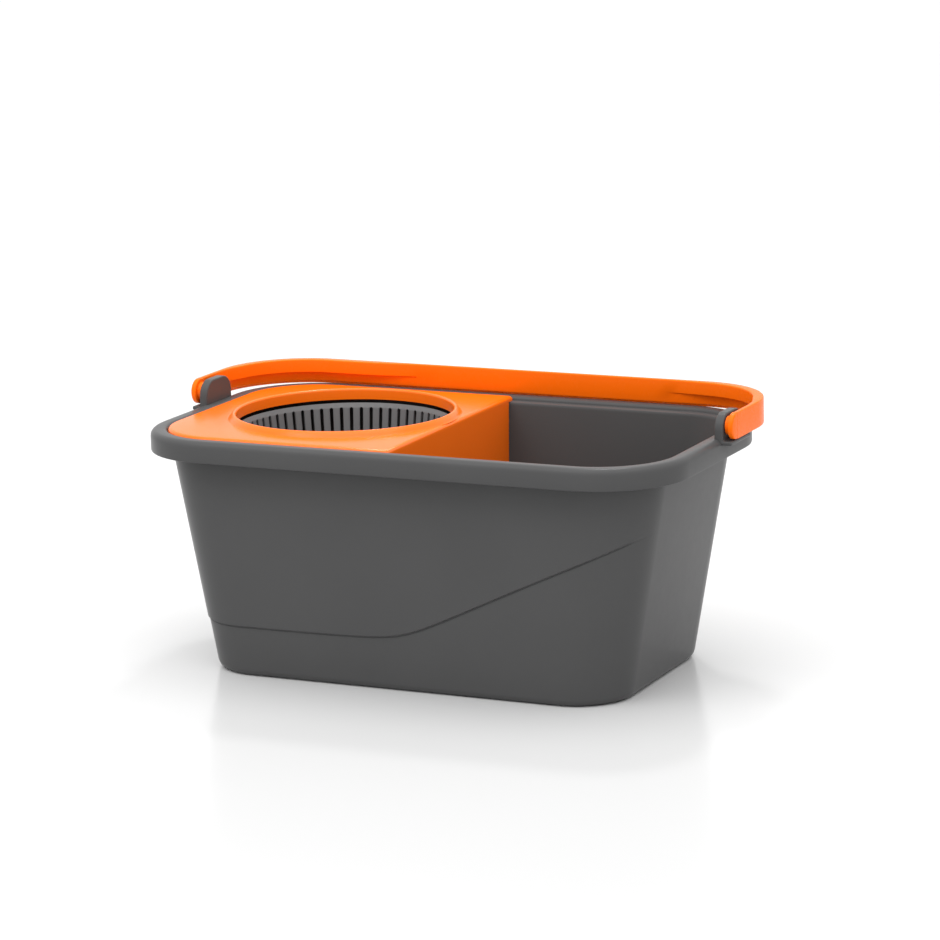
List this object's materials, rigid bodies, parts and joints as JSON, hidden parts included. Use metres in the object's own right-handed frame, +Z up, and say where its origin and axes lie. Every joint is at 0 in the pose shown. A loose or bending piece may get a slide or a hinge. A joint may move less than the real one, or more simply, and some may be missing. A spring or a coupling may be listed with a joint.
{
  "type": "spin mop bucket",
  "caption": "Tapered rectangular wringing bucket with a splash cover over one half, a slotted spin basket under its round hole, and a bail handle that folds onto the rear rim.",
  "frame": {"origin": "under the middle of the overall box, on the surface that the bucket stands on", "axes": "+X to the open washing side, +Y to the rear where the handle lies folded, +Z up"},
  "size_m": [0.5, 0.275, 0.225],
  "materials": {
    "bucket_grey": "satin",
    "cover_orange": "gloss",
    "handle_orange": "gloss",
    "basket_grey": "satin",
    "stand_grey": "satin",
    "crown_grey": "satin",
    "cap_black": "satin",
    "cage_nylon": "satin",
    "pin_steel": "turned",
    "screw_steel": "zinc plated",
    "bearing_steel": "ground"
  },
  "bodies": {
    "bucket_body": {"bucket": "bucket_grey", "splash_cover": "cover_orange", "spindle_stand": "stand_grey", "stand_screws": "screw_steel", "spindle_pin": "pin_steel", "thrust_washer": "pin_steel", "lower_inner_ring": "bearing_steel", "spacer_sleeve": "pin_steel", "upper_inner_ring": "bearing_steel", "retaining_clip": "screw_steel"},
    "basket_body": {"spin_basket": "basket_grey", "drive_crown": "crown_grey", "crown_screws": "screw_steel", "lower_outer_ring": "bearing_steel", "upper_outer_ring": "bearing_steel", "dust_cap": "cap_black"},
    "lower_cage_body": {"lower_cage": "cage_nylon", "lower_balls": "bearing_steel"},
    "upper_cage_body": {"upper_cage": "cage_nylon", "upper_balls": "bearing_steel"},
    "handle_body": {"bail_handle": "handle_orange"}
  },
  "joints": [
    {"name": "basket_spin", "type": "hinge", "parent": "bucket_body", "child": "basket_body", "pos_m": [-0.098, 0, 0.098], "axis": [0, 0, 1], "continuous": true},
    {"name": "lower_cage_spin", "type": "hinge", "parent": "bucket_body", "child": "lower_cage_body", "pos_m": [-0.098, 0, 0.0895], "axis": [0, 0, 1], "continuous": true},
    {"name": "upper_cage_spin", "type": "hinge", "parent": "bucket_body", "child": "upper_cage_body", "pos_m": [-0.098, 0, 0.1065], "axis": [0, 0, 1], "continuous": true},
    {"name": "handle_swing", "type": "hinge", "parent": "bucket_body", "child": "handle_body", "pos_m": [0, 0.017, 0.214], "axis": [1, 0, 0], "range_deg": [0, 170]}
  ],
  "couplings": [
    {"joint": "lower_cage_spin", "follows": "basket_spin", "ratio": 0.6323},
    {"joint": "upper_cage_spin", "follows": "basket_spin", "ratio": 0.6323}
  ]
}
